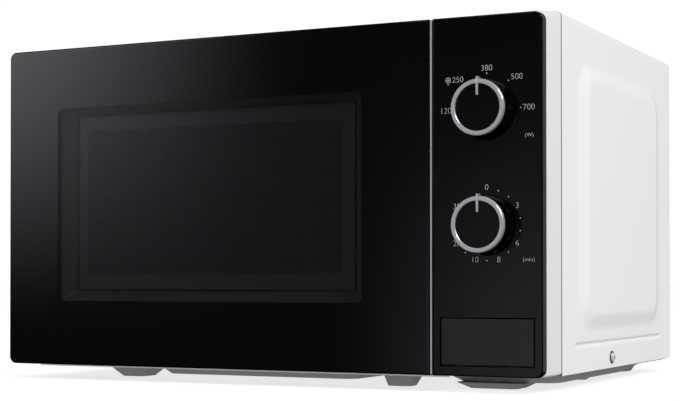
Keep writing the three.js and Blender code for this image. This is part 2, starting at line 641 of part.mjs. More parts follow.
function filterBoard() {
  const board = block(-45, 45, -30, 30, 0, 1.6);
  const parts = [
    block(-38, -14, -22, 2, 1.5, 16), // suppressor coil
    block(-6, 22, -24, -12, 1.5, 14), // film capacitor
    block(-2, 30, 8, 15, 1.5, 9), // fuse in its clips
    block(-36, -20, 12, 22, 1.5, 13), // terminal block
  ];
  return join(board, ...parts);
}

// The lamp lies outside the cavity wall and shines in through its slots.
function ovenLamp() {
  const bulb = turned([[0, -14], [6, -12], [9, -5], [8, 3], [5, 9], [5, 12], [0, 12]], 14);
  const socket = turned([[0, 11], [9, 11], [9, 27], [0, 27]], 14);
  const tab = block(-11, 11, 20, 24, -12, 12);
  return join(bulb, socket, tab);
}

add("waveguide", waveguide(), GALVANISED);
add("waveguide_cover", block(CAVITY.x1 - 1.1, CAVITY.x1 - GAP, 126, 214, 156, 214), MICA);
add("magnetron", magnetron(), ALUMINIUM);
add("transformer_core", transformerCore(), CORE_STEEL);
add("primary_winding", winding(27, 45), COPPER);
add("secondary_winding", winding(47, 67.5), COPPER);
add("hv_capacitor", capacitor(), ALUMINIUM, 158, 224, 14.6);
add("hv_diode", bar("y", 4, 0, 22, 0, 0, 12), BLACK_PLASTIC, 206, 205, 60);
add("fan_shroud", fanShroud(), NATURAL_PLASTIC);
add("fan_motor", fanMotor(), CORE_STEEL);
add("fan_blade", fanBlade(), WHITE_PLASTIC, FAN.x, 0, FAN.z);
add("filter_board", filterBoard(), BOARD_GREEN, 158, 262, 226);
add("oven_lamp", ovenLamp(), CLEAR_GLASS, WALL + 14, 86, 205);

// ---------------------------------------------------------------- turntable
const WHEEL_Z = TABLE.floor + ROLLER.radius + GAP;
const PLATE_Z = WHEEL_Z + ROLLER.radius + GAP;

// A shallow glass dish on a flat base; three lugs below it sit between the arms of the coupler.
function turntablePlate() {
  const { radius } = TABLE;
  const dish = turned([
    [0, 0], [106, 0], [110, 0.8], [radius - 0.8, 9], [radius, 10.6], [radius - 2, 11.4], [radius - 4, 10.6],
    [109, 4.6], [104, 4], [0, 4],
  ], 44, "z");
  const lugs = Array.from({ length: 3 }, (_, i) => {
    const angle = Math.PI / 3 + (i * 2 * Math.PI) / 3;
    return bar("z", 3.5, -5, 1, 19 * Math.cos(angle), 19 * Math.sin(angle), 10);
  });
  return join(dish, ...lugs);
}

function coupler() {
  const hub = bar("z", 9, 1.2, 14, 0, 0, 20);
  const arm = block(0, 26, -4, 4, 7, 14);
  const arms = [0, 1, 2].map((i) => arm.clone().rotateZ((i * 2 * Math.PI) / 3));
  const shaft = bar("z", 3.5, -9, 2, 0, 0, 14);
  return join(hub, ...arms, shaft);
}

function rollerRing() {
  const { orbit, width, count } = ROLLER;
  const inner = orbit - width / 2 - 1 - 7;
  const z0 = WHEEL_Z - 2.5;
  const z1 = WHEEL_Z + 2.5;
  const band = turned(
    [[inner, z0], [inner + 7, z0], [inner + 7, z1], [inner, z1], [inner, z0]], 40, "z");
  const axle = bar("x", 1.8, inner + 5, orbit + width / 2 + 1.5, 0, WHEEL_Z, 12);
  const axles = Array.from({ length: count }, (_, i) => axle.clone().rotateZ((i * 2 * Math.PI) / count));
  return join(band, ...axles);
}

function roller() {
  const { radius, width } = ROLLER;
  const tyre = turned([
    [2.1, -width / 2], [radius - 0.5, -width / 2], [radius, -width / 2 + 0.5], [radius, width / 2 - 0.5],
    [radius - 0.5, width / 2], [2.1, width / 2], [2.1, -width / 2],
  ], 20);
  return tyre.rotateZ(-Math.PI / 2);
}

function turntableMotor() {
  const can = bar("z", 25, 0, 14, 0, 0, 28);
  const ears = block(-34, 34, -6, 6, 13, 14);
  const bore = bar("z", 4.1, 5, 20, 0, 0, 14);
  return cut(join(can, ears), bore);
}

add("turntable_plate", turntablePlate(), CLEAR_GLASS, TABLE.x, TABLE.y, PLATE_Z);
add("turntable_coupler", coupler(), NATURAL_PLASTIC, TABLE.x, TABLE.y, TABLE.floor);
add("roller_ring", rollerRing(), NATURAL_PLASTIC, TABLE.x, TABLE.y, 0);
for (let i = 0; i < ROLLER.count; i += 1) {
  const angle = (i * 2 * Math.PI) / ROLLER.count;
  const x = TABLE.x + ROLLER.orbit * Math.cos(angle);
  const y = TABLE.y + ROLLER.orbit * Math.sin(angle);
  add(`roller_${i + 1}`, roller(), NATURAL_PLASTIC, x, y, WHEEL_Z).rotation.z = angle;
}
add("turntable_motor", turntableMotor(), GALVANISED, TABLE.x, TABLE.y, TABLE.floor - SHEET - GAP - 14);

const microwave = new THREE.Group();
microwave.add(oven);
export default microwave;
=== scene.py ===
"""A countertop microwave oven with two dials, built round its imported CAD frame.

Metres, +Z up, the door to -Y. Each number with MM is in millimetres.
"""

import json
import math

import bmesh
import bpy
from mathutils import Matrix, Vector


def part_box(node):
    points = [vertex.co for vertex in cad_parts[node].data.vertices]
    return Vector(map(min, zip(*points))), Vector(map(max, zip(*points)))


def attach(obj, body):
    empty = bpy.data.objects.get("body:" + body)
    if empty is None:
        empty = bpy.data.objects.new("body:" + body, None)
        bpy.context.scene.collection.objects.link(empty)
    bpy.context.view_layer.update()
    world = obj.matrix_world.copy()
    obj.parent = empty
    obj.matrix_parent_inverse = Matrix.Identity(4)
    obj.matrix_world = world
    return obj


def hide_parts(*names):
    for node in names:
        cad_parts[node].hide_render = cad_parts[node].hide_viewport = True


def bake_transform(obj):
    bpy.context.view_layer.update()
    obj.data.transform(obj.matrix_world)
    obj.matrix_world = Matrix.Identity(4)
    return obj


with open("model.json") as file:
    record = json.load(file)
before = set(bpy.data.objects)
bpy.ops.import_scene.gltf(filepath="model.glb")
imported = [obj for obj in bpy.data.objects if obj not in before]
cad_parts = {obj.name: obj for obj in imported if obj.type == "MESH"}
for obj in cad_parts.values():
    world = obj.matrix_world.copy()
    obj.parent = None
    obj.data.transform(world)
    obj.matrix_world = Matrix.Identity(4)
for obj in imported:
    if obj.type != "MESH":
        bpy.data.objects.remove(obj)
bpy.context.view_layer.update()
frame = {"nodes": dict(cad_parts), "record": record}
nodes = frame["nodes"]

MM = 0.001

# ---------------------------------------------------------------- places, all from the frame
GLASS_LO, GLASS_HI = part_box("door_glass")
FASCIA_LO, FASCIA_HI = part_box("control_fascia")
CABINET_LO, CABINET_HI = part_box("outer_cabinet")
FRONT = GLASS_LO.y
SIDE_RAISE = 3.3 * MM  # the raised field on each side of the cabinet
SIDE = CABINET_HI.x - SIDE_RAISE
CORNER = 5.5 * MM  # of the door and the control panel
HOOD_CORNER = 4 * MM  # of the cabinet's two top edges
SHARP = 1 * MM  # corners beside the seam between the door and the panel
DOOR_RADII = (CORNER, SHARP, SHARP, CORNER)
PANEL_RADII = (SHARP, CORNER, CORNER, SHARP)
HOUSING_RADII = (SHARP, 2.2 * MM, HOOD_CORNER, SHARP)
DOOR_BEVEL = 1.2 * MM
PANEL_BEVEL = 0.9 * MM
BUTTON_GAP = 0.95 * MM  # round the release button

# Rectangles on the door as x0, x1, z0, z1.
WINDOW = (-172.35 * MM, 86.05 * MM, 59.7 * MM, 207.2 * MM)
STEP = (-162.35 * MM, 76.75 * MM, 67.2 * MM, 202.7 * MM)
MESH = (-152.55 * MM, 65.85 * MM, 80.4 * MM, 189.7 * MM)
WINDOW_RADII = (4 * MM,) * 4
STEP_RADII = (3 * MM,) * 4
MESH_RADII = (2 * MM,) * 4
STEP_FRONT = 5 * MM  # depths behind the front glass
STEP_REAR = 12 * MM
HOLE_PITCH = 2 * MM
HOLE_SHARE = 0.62  # radius of a hole over the radius of its cell

# The printed marks round the dials.
NUMBER_SIZE = 5.7 * MM
MARK_RADIUS = 24 * MM
DOT_RADIUS = 0.42 * MM
PRINT_PROUD = 0.05 * MM  # the print stands this far off the glass
POWER_TEXT = [
    ("120", -90, 29.5),
    ("250", -45, 29.3),
    ("380", 0, 27.5),
    ("500", 46, 29.7),
    ("700", 90, 29.8),
]  # text, degrees clockwise from the top, radius in mm
POWER_DOTS = [-90, -45, 0, 40, 90]
TIMER_TEXT = [("0", 0), ("3", 60), ("6", 120), ("8", 160), ("10", 200), ("20", 240), ("30", 300)]
TIMER_TEXT_RADIUS = 24.9 * MM
TIMER_DOTS = [20, 40, 80, 100, 140, 180, 220, 260, 280]

# Outlines of the raised field as y0, y1, z0, z1, corner radius, with y from the front glass.
FIELD_FOOT = (76 * MM, 292 * MM, 39.7 * MM, 228.7 * MM, 24 * MM)
FIELD_TOP = (95 * MM, 273 * MM, 51.2 * MM, 219.2 * MM, 12 * MM)
GROOVE = {"z": 29.7 * MM, "y0": 74 * MM, "y1": 294 * MM, "depth": 1.7 * MM, "width": 1.3 * MM}
GROOVE_FADE = 3 * MM  # length over which the groove's ends run out
SLOPE_ROUNDING = 0.12  # share of the field's slope that is rounded at each end
CELL = 2.2 * MM  # spacing of the cabinet's mesh
FINE_CELL = 0.5 * MM  # the same across the groove
REAR_FLANGE = 12 * MM  # turned in round the back panel

CAMERA_AT = Vector((554.95 * MM, -977 * MM + FRONT, 75.6 * MM))
CAMERA_YAW = math.radians(26.41)
CAMERA_PITCH = math.radians(0.75)
CAMERA_LENS = 82.67
CAMERA_SHIFT_Y = 0.0869


# ---------------------------------------------------------------- materials
def material(name, color, rough, metal=0.0, grain=0.06, scale=900.0, bump=0.0, **sockets):
    """A Principled material whose colour and roughness vary a little with a fine noise."""
    made = bpy.data.materials.new(name)
    made.use_nodes = True
    tree = made.node_tree
    shader = tree.nodes["Principled BSDF"]
    place = tree.nodes.new("ShaderNodeTexCoord")
    noise = tree.nodes.new("ShaderNodeTexNoise")
    noise.inputs["Scale"].default_value = scale
    noise.inputs["Detail"].default_value = 3.0
    tree.links.new(place.outputs["Object"], noise.inputs["Vector"])
    ramp = tree.nodes.new("ShaderNodeValToRGB")
    low, high = ramp.color_ramp.elements
    low.color = (*[c * (1 - grain) for c in color], 1)
    high.color = (*[min(1, c * (1 + grain)) for c in color], 1)
    tree.links.new(noise.outputs["Fac"], ramp.inputs["Fac"])
    tree.links.new(ramp.outputs["Color"], shader.inputs["Base Color"])
    spread = tree.nodes.new("ShaderNodeMapRange")
    spread.inputs["To Min"].default_value = rough * 0.9
    spread.inputs["To Max"].default_value = min(1.0, rough * 1.1)
    tree.links.new(noise.outputs["Fac"], spread.inputs["Value"])
    tree.links.new(spread.outputs["Result"], shader.inputs["Roughness"])
    if bump:
        relief = tree.nodes.new("ShaderNodeBump")
        relief.inputs["Strength"].default_value = bump
        relief.inputs["Distance"].default_value = 0.0002
        tree.links.new(noise.outputs["Fac"], relief.inputs["Height"])
        tree.links.new(relief.outputs["Normal"], shader.inputs["Normal"])
    shader.inputs["Metallic"].default_value = metal
    for key, value in sockets.items():
        shader.inputs[key.replace("_", " ")].default_value = value
    return made


WHITE_PAINT = material("white_paint", (0.79, 0.79, 0.795), 0.38, bump=0.05)
WHITE_PLASTIC = material("white_plastic", (0.71, 0.71, 0.72), 0.42, bump=0.05)
GLASS_PRINT = material("glass_print", (0.002, 0.002, 0.0024), 0.06, scale=60)
FASCIA_BLACK = material("fascia_black", (0.002, 0.002, 0.0025), 0.09, scale=60, Specular_IOR_Level=0.4)
KNOB_BLACK = material("knob_black", (0.0015, 0.0015, 0.002), 0.16, scale=300, Specular_IOR_Level=0.35)
BUTTON_BLACK = material("button_black", (0.009, 0.009, 0.010), 0.3, scale=300)
MATT_BLACK = material("matt_black", (0.012, 0.012, 0.013), 0.5, bump=0.1)
STEP_GREY = material("window_step", (0.13, 0.134, 0.146), 0.35, scale=500, Specular_IOR_Level=1.0)
SCREEN_GREY = material("screen_grey", (0.34, 0.35, 0.375), 0.24, metal=0.7, scale=500)
SILVER = material("brushed_silver", (0.6, 0.6, 0.62), 0.34, metal=0.65, scale=1800)
SEAM_SILVER = material("seam_silver", (0.62, 0.62, 0.64), 0.4, metal=0.7, scale=800)
# Painted shade: a near black put on the hems at the seam between the housing and the cabinet, where only
# shade falls.
SEAM_SHADE = material("seam_shade", (0.06, 0.06, 0.063), 0.7, scale=500)
SCREW_HEAD = material("screw_head", (0.66, 0.66, 0.68), 0.35, metal=0.25, scale=1200)
SCREW_RIM = material("screw_rim", (0.10, 0.10, 0.105), 0.45, metal=0.6, scale=800)
PRINT_GREY = material("dial_print", (0.47, 0.48, 0.5), 0.6)
FOOT_GREY = material("foot_grey", (0.24, 0.24, 0.25), 0.55, bump=0.1)
GALVANISED = material("galvanised", (0.36, 0.37, 0.38), 0.42, metal=0.8, grain=0.2, scale=140)
BASE_STEEL = material("base_steel", (0.36, 0.36, 0.375), 0.5, metal=0.3, grain=0.12, scale=180)
ENAMEL = material("enamel", (0.55, 0.56, 0.57), 0.35, grain=0.12, scale=1500)
NATURAL = material("natural_plastic", (0.68, 0.64, 0.56), 0.5)
COPPER = material("copper", (0.5, 0.2, 0.09), 0.35, metal=0.9, grain=0.2, scale=400)
CORE = material("core_steel", (0.075, 0.072, 0.07), 0.55, metal=0.6, grain=0.25, scale=500)
ALUMINIUM = material("aluminium", (0.5, 0.5, 0.51), 0.35, metal=0.9, grain=0.1)
WIRE = material("spring_wire", (0.4, 0.41, 0.42), 0.3, metal=0.9)
MICA = material("mica", (0.47, 0.35, 0.21), 0.6, grain=0.25, scale=300)
BOARD = material("board", (0.03, 0.15, 0.06), 0.45, grain=0.3, scale=200)
INNER_PANE = material("inner_pane", (0.006, 0.006, 0.007), 0.1, Alpha=0.7, scale=60)
CLEAR = material("clear_glass", (0.86, 0.92, 0.91), 0.04, Alpha=0.25, scale=50)
PANE = material("tinted_pane", (0.004, 0.004, 0.005), 0.05, Alpha=0.5, scale=60)

CAD_FINISH = {
    "white_paint": WHITE_PAINT,
    "white_plastic": WHITE_PLASTIC,
    "black_gloss": FASCIA_BLACK,
    "black_plastic": MATT_BLACK,
    "door_glass": GLASS_PRINT,
    "clear_glass": CLEAR,
    "knob_chrome": SILVER,
    "screw_plating": SILVER,
    "galvanised": GALVANISED,
    "enamel": ENAMEL,
    "screen_paint": SCREEN_GREY,
    "grey_plastic": FOOT_GREY,
    "natural_plastic": NATURAL,
    "copper": COPPER,
    "core_steel": CORE,
    "aluminium": ALUMINIUM,
    "spring_steel": WIRE,
    "mica": MICA,
    "board_green": BOARD,
}


def finish_cad_nodes():
    for part in frame["record"]["subparts"]:
        node = nodes[part["node"]]
        node.data.materials.clear()
        node.data.materials.append(CAD_FINISH[part["material_slot"]])
    nodes["base_plate"].data.materials[0] = BASE_STEEL
    nodes["inner_window"].data.materials[0] = INNER_PANE


# ---------------------------------------------------------------- building
def mesh_object(name, build, *finishes):
    """A linked object whose mesh is built by a function on a bmesh."""
    mesh = bpy.data.meshes.new(name)
    grid = bmesh.new()
    build(grid)
    bmesh.ops.recalc_face_normals(grid, faces=grid.faces)
    grid.to_mesh(mesh)
    grid.free()
    for one in finishes:
        mesh.materials.append(one)
    made = bpy.data.objects.new(name, mesh)
    bpy.context.scene.collection.objects.link(made)
    return made


def piece(name, build, body, slot, *finishes, replaces=(), smooth=None):
    """A mesh object that rides on a body, smooth-shaded below an angle in degrees."""
    made = mesh_object(name, build, *finishes)
    if smooth is not None:
        made.data.shade_smooth()
        made.data.set_sharp_from_angle(angle=math.radians(smooth))
    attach(made, body)
    if replaces:
        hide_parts(*replaces)
    return made


def rounded(x0, x1, z0, z1, radii, steps=8):
    """The corners of a rounded rectangle: low left, low right, high right, high left."""
    a, b, c, d = radii
    centres = [
        (x0 + a, z0 + a, a, math.pi),
        (x1 - b, z0 + b, b, 1.5 * math.pi),
        (x1 - c, z1 - c, c, 0),
        (x0 + d, z1 - d, d, 0.5 * math.pi),
    ]
    points = []
    for x, z, r, start in centres:
        for i in range(steps + 1):
            angle = start + i / steps * math.pi / 2
            points.append((x + r * math.cos(angle), z + r * math.sin(angle)))
    return points


def ring(grid, x0, x1, z0, z1, radii, y, inset=0.0, steps=8):
    """A loop of vertices on a rounded rectangle, moved in by an inset."""
    kept = [max(r - inset, 0.00005) for r in radii]
    around = rounded(x0 + inset, x1 - inset, z0 + inset, z1 - inset, kept, steps)
    return [grid.verts.new((x, y, z)) for x, z in around]


def bridge(grid, first, second, finish=0):
    count = len(first)
    for i in range(count):
        j = (i + 1) % count
        grid.faces.new((first[i], first[j], second[j], second[i])).material_index = finish


def edge_profile(y0, y1, bevel, steps=4):
    """Pairs of (y, inset) over a rounded front edge and down the side."""
    turn = [i / steps * math.pi / 2 for i in range(steps + 1)]
    rounding = [(y0 + bevel * (1 - math.sin(t)), bevel * (1 - math.cos(t))) for t in reversed(turn)]
    return rounding + [(y1, 0.0)]


def slab(grid, outer, radii, y0, y1, bevel, hole=None, hole_radii=(0, 0, 0, 0), steps=8):
    """A plate facing -Y with a rounded front edge, and an optional opening through it."""
    flat_edge = (y0, bevel + 0.6 * MM)  # keeps the rounding's shading off the flat face
    profile = [flat_edge] + edge_profile(y0, y1, bevel)
    rings = [ring(grid, *outer, radii, y, inset, steps) for y, inset in profile]
    for first, second in zip(rings, rings[1:]):
        bridge(grid, first, second)
    if hole is None:
        grid.faces.new(rings[0])
        grid.faces.new(rings[-1])
        return
    front = ring(grid, *hole, hole_radii, y0, 0, steps)
    back = ring(grid, *hole, hole_radii, y1, 0, steps)
    bridge(grid, front, rings[0])
    bridge(grid, back, front)
    bridge(grid, rings[-1], back)


def revolve(grid, centre, profile, sides=96, axis="y"):
    """A profile of (radius, height) turned about an axis through a centre."""
    rows = []
    for radius, height in profile:
        if radius < 1e-7:
            at = (0, height, 0) if axis == "y" else (0, 0, height)
            rows.append([grid.verts.new(centre + Vector(at))])
            continue
        row = []
        for i in range(sides):
            angle = i / sides * 2 * math.pi
            u, v = radius * math.cos(angle), radius * math.sin(angle)
            at = (u, height, v) if axis == "y" else (u, v, height)
            row.append(grid.verts.new(centre + Vector(at)))
        rows.append(row)
    for first, second in zip(rows, rows[1:]):
        for i in range(sides):
            j = (i + 1) % sides
            corners = [row[k % len(row)] for row, k in ((first, i), (first, j), (second, j), (second, i))]
            unique = list(dict.fromkeys(corners))
            if len(unique) > 2:
                grid.faces.new(unique)


def box_into(grid, x0, x1, y0, y1, z0, z1, bevel=0.0):
    """A block with rounded edges, added to a bmesh."""
    made = bmesh.ops.create_cube(grid, size=1)["verts"]
    spans = ((x0, x1), (y0, y1), (z0, z1))
    for v in made:
        v.co = Vector([lo + (c + 0.5) * (hi - lo) for c, (lo, hi) in zip(v.co, spans)])
    if bevel:
        edges = list({e for v in made for e in v.link_edges})
        bmesh.ops.bevel(
            grid, geom=edges, offset=bevel, segments=3, profile=0.5, affect="EDGES",
            clamp_overlap=True,
        )


# ---------------------------------------------------------------- door
def door():
    """The printed glass round the window, and the tinted pane in it."""
    outer = (GLASS_LO.x, GLASS_HI.x, GLASS_LO.z, GLASS_HI.z)
    back = GLASS_HI.y
    piece(
        "door_front_glass",
        lambda g: slab(g, outer, DOOR_RADII, FRONT, back, DOOR_BEVEL, WINDOW, WINDOW_RADII),
        "door", "door_glass", GLASS_PRINT, replaces=["door_glass"], smooth=40,
    )
    piece(
        "door_front_pane",
        lambda g: slab(g, WINDOW, WINDOW_RADII, FRONT, back, 0.05 * MM),
        "door", "door_glass", PANE, smooth=40,
    )


def door_screen():
    """Behind the pane: a sloped surround, a thin dark channel, a margin and the perforated field."""
    front, rear = FRONT + STEP_FRONT, FRONT + STEP_REAR

    def stepped(grid):
        channel = rear + 3 * MM
        rows = [
            ring(grid, *WINDOW, WINDOW_RADII, front, -6 * MM),
            ring(grid, *WINDOW, WINDOW_RADII, front, 0),
            ring(grid, *STEP, STEP_RADII, rear, 0),
            ring(grid, *STEP, STEP_RADII, channel, 0.1 * MM),
            ring(grid, *STEP, STEP_RADII, channel, 1.3 * MM),
            ring(grid, *STEP, STEP_RADII, rear, 1.4 * MM),
            ring(grid, *STEP, STEP_RADII, rear, 2.4 * MM),
        ]
        for first, second in zip(rows, rows[1:]):
            bridge(grid, first, second)

    piece("screen_surround", stepped, "door", "screen_paint", STEP_GREY, smooth=30)

    def margin(grid):
        outer = ring(grid, *STEP, STEP_RADII, rear + 0.3 * MM, 2 * MM)
        inner = ring(grid, *MESH, MESH_RADII, rear + 0.3 * MM, 0)
        bridge(grid, outer, inner)

    piece("screen_margin", margin, "door", "screen_paint", SCREEN_GREY)

    def perforated(grid):
        x0, x1, z0, z1 = MESH
        row_step = HOLE_PITCH * math.sqrt(3) / 2
        cell = HOLE_PITCH / math.sqrt(3)
        depth = rear + 0.4 * MM
        shared = {}

        def corner(x, z):
            key = (round(x / MM, 3), round(z / MM, 3))
            if key not in shared:
                shared[key] = grid.verts.new((x, depth, z))
            return shared[key]

        for row in range(int((z1 - z0) / row_step) + 2):
            z = z0 + row * row_step
            for column in range(int((x1 - x0) / HOLE_PITCH) + 2):
                x = x0 + (column + 0.5 * (row % 2)) * HOLE_PITCH
                spokes = [math.pi / 6 + k * math.pi / 3 for k in range(6)]
                outer = [corner(x + cell * math.cos(t), z + cell * math.sin(t)) for t in spokes]
                reach = cell * HOLE_SHARE
                inner = [
                    grid.verts.new((x + reach * math.cos(t), depth, z + reach * math.sin(t)))
                    for t in spokes
                ]
                bridge(grid, outer, inner)

    piece("screen_perforated", perforated, "door", "screen_paint", SCREEN_GREY, replaces=["door_screen"])


# ---------------------------------------------------------------- control panel
def control_panel():
    """The black panel with its opening, the bright strip beside the door, and the release button."""
    outer = (FASCIA_LO.x, FASCIA_HI.x, FASCIA_LO.z, FASCIA_HI.z)
    button_lo, button_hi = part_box("release_button")
    gap = BUTTON_GAP
    opening = (button_lo.x - gap, button_hi.x + gap, button_lo.z - gap, button_hi.z + gap)
    opening_radii = (0.6 * MM,) * 4
    piece(
        "fascia_front",
        lambda g: slab(
            g, outer, PANEL_RADII, FRONT, FASCIA_HI.y, PANEL_BEVEL, opening, opening_radii
        ),
        "chassis", "black_gloss", FASCIA_BLACK, replaces=["control_fascia"], smooth=40,
    )
    piece(
        "panel_seam_trim",
        lambda g: box_into(
            g, FASCIA_LO.x - 1.55 * MM, FASCIA_LO.x - 0.4 * MM, FRONT + 0.4 * MM, FRONT + 34 * MM,
            FASCIA_LO.z + 1 * MM, FASCIA_HI.z - 1 * MM,
        ),
        "chassis", "galvanised", SEAM_SILVER,
    )

    def button(grid):
        face = (button_lo.x, button_hi.x, button_lo.z, button_hi.z)
        slab(grid, face, (0.5 * MM,) * 4, button_lo.y, button_lo.y + 3 * MM, 0.5 * MM)
        stem = (button_lo.x + 2.5 * MM, button_lo.x + 10 * MM)
        box_into(grid, *stem, button_lo.y + 2.9 * MM, button_hi.y, 29 * MM, 34 * MM, 0.3 * MM)

    piece(
        "release_button_cap", button, "button", "black_gloss", BUTTON_BLACK,
        replaces=["release_button"], smooth=40,
    )


def knob(name, body):
    """A dial's grip, ring and pointer. Profiles are (radius, y) in mm from the front glass."""
    lo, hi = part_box(name)
    centre = Vector(((lo.x + hi.x) / 2, FRONT, (lo.z + hi.z) / 2))
    grip = [
        (0, -17.2), (15.2, -17.2), (15.6, -16.9), (15.8, -15.6), (18.5, -15.4), (18.8, -14.9),
        (20.5, -1.2), (20.2, -0.8), (0, -0.8),
    ]
    piece(
        f"{name}_cap", lambda g: revolve(g, centre, [(r * MM, y * MM) for r, y in grip]),
        body, "black_gloss", KNOB_BLACK, replaces=[name], smooth=35,
    )
    band = [
        (15.7, -15.5), (15.7, -17.6), (16.1, -18), (18.2, -18), (18.7, -17.5), (18.8, -15.5),
        (15.7, -15.5),
    ]
    piece(
        f"{name}_band", lambda g: revolve(g, centre, [(r * MM, y * MM) for r, y in band]),
        body, "knob_chrome", SILVER, replaces=[f"{name}_ring"], smooth=35,
    )

    def pointer(grid):
        x, z = centre.x, centre.z
        sides = (x - 0.8 * MM, x + 0.8 * MM)
        proud = FRONT - 18.3 * MM
        rounding = 0.25 * MM
        box_into(grid, *sides, proud, FRONT - 17 * MM, z + 8 * MM, z + 19.5 * MM, rounding)
        box_into(grid, *sides, proud, FRONT - 13 * MM, z + 18.9 * MM, z + 20.2 * MM, rounding)

    piece(f"{name}_mark", pointer, body, "knob_chrome", SILVER, replaces=[f"{name}_pointer"], smooth=35)
    return centre


def print_text(name, text, centre, size, thinned=0.13):
    """Lettering printed on the panel, its strokes thinned by an offset in mm."""
    curve = bpy.data.curves.new(name, "FONT")
    curve.body = text
    curve.size = size
    curve.align_x = "CENTER"
    curve.align_y = "CENTER"
    curve.extrude = 0.02 * MM
    curve.offset = thinned * -MM
    made = bpy.data.objects.new(name, curve)
    bpy.context.scene.collection.objects.link(made)
    made.rotation_euler = (math.pi / 2, 0, 0)
    made.location = centre
    bpy.context.view_layer.update()
    mesh = bpy.data.meshes.new_from_object(made.evaluated_get(bpy.context.evaluated_depsgraph_get()))
    mesh.transform(made.matrix_world)
    bpy.data.objects.remove(made)
    flat = bpy.data.objects.new(name, mesh)
    bpy.context.scene.collection.objects.link(flat)
    mesh.materials.clear()
    mesh.materials.append(PRINT_GREY)
    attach(flat, "chassis")


def around(centre, degrees, radius):
    """A place on the panel at an angle clockwise from the top."""
    turn = math.radians(degrees)
    x = centre.x + radius * math.sin(turn)
    z = centre.z + radius * math.cos(turn)
    return Vector((x, FRONT - PRINT_PROUD, z))


def circle(grid, middle, radius, turns):
    """Vertices on an upright circle that faces the front."""
    return [grid.verts.new(middle + Vector((math.cos(t), 0, math.sin(t))) * radius) for t in turns]


def dots(name, centre, marks, radius):
    def build(grid):
        turns = [k * math.pi / 4 for k in range(8)]
        for degrees in marks:
            grid.faces.new(circle(grid, around(centre, degrees, radius), DOT_RADIUS, turns))

    piece(name, build, "chassis", "white_plastic", PRINT_GREY)


def markings(power_dial, timer_dial):
    """The numbers and dots round both dials, their units, and the defrost symbol."""
    power = power_dial + Vector((0, 0, 0.3 * MM))
    timer = timer_dial + Vector((0, 0, 0.3 * MM))
    for text, degrees, radius in POWER_TEXT:
        print_text(f"power_text_{text}", text, around(power, degrees, radius * MM), NUMBER_SIZE)
    dots("power_dots", power, POWER_DOTS, MARK_RADIUS)
    power_unit_at = power + Vector((30 * MM, -PRINT_PROUD, -18.5 * MM))
    print_text("power_unit", "(W)", power_unit_at, 3.8 * MM, 0.08)
    for text, degrees in TIMER_TEXT:
        place = around(timer, degrees, TIMER_TEXT_RADIUS)
        print_text(f"timer_text_{text}", text, place, NUMBER_SIZE)
    dots("timer_dots", timer, TIMER_DOTS, MARK_RADIUS)
    timer_unit_at = timer + Vector((29.6 * MM, -PRINT_PROUD, -23.3 * MM))
    print_text("timer_unit_text", "(min)", timer_unit_at, 4 * MM, 0.08)

    def defrost(grid):
        middle = around(power, -45, 29.3 * MM) + Vector((-7 * MM, 0, 0))
        turns = [k * math.pi / 12 for k in range(24)]
        bridge(grid, circle(grid, middle, 1.9 * MM, turns), circle(grid, middle, 1.6 * MM, turns))
        drop = middle + Vector((0, 0, -2.8 * MM))
        grid.faces.new(circle(grid, drop, 0.4 * MM, turns))
        for k in range(3):
            turn = k * math.pi / 3
            along = Vector((math.cos(turn), 0, math.sin(turn))) * 1.2 * MM
            side = Vector((-math.sin(turn), 0, math.cos(turn))) * 0.13 * MM
            stroke = (-along - side, along - side, along + side, side - along)
            grid.faces.new([grid.verts.new(middle + p) for p in stroke])

    piece("defrost_symbol", defrost, "chassis", "white_plastic", PRINT_GREY)


# ---------------------------------------------------------------- cabinet
def rounded_distance(y, z, y0, y1, z0, z1, r):
    """Signed distance to a rounded rectangle, negative inside."""
    dy = abs(y - (y0 + y1) / 2) - (y1 - y0) / 2 + r
    dz = abs(z - (z0 + z1) / 2) - (z1 - z0) / 2 + r
    return math.hypot(max(dy, 0), max(dz, 0)) + min(max(dy, dz), 0) - r


def eased(t):
    """A straight ramp from 0 to 1 with a short rounding at each end."""
    a = SLOPE_ROUNDING
    if t < a:
        return t * t / (2 * a * (1 - a))
    if t > 1 - a:
        return 1 - (1 - t) * (1 - t) / (2 * a * (1 - a))
    return (t - a / 2) / (1 - a)


def side_relief(y, z):
    """How far the cabinet's side stands out at a place, y from the front glass."""
    inside = max(-rounded_distance(y, z, *FIELD_FOOT), 0)
    outside = max(rounded_distance(y, z, *FIELD_TOP), 0)
    share = inside / (inside + outside) if inside else 0.0
    along = max(GROOVE["y0"] - y, y - GROOVE["y1"], 0) / GROOVE_FADE
    across = (z - GROOVE["z"]) / GROOVE["width"]
    groove = GROOVE["depth"] * math.exp(-across * across) * math.exp(-along * along)
    return SIDE_RAISE * eased(share) - groove


def stations(lo, hi, step):
    """Evenly spaced places from lo to hi, about a step apart."""
    count = round((hi - lo) / step)
    return [lo + (hi - lo) * i / count for i in range(count + 1)]


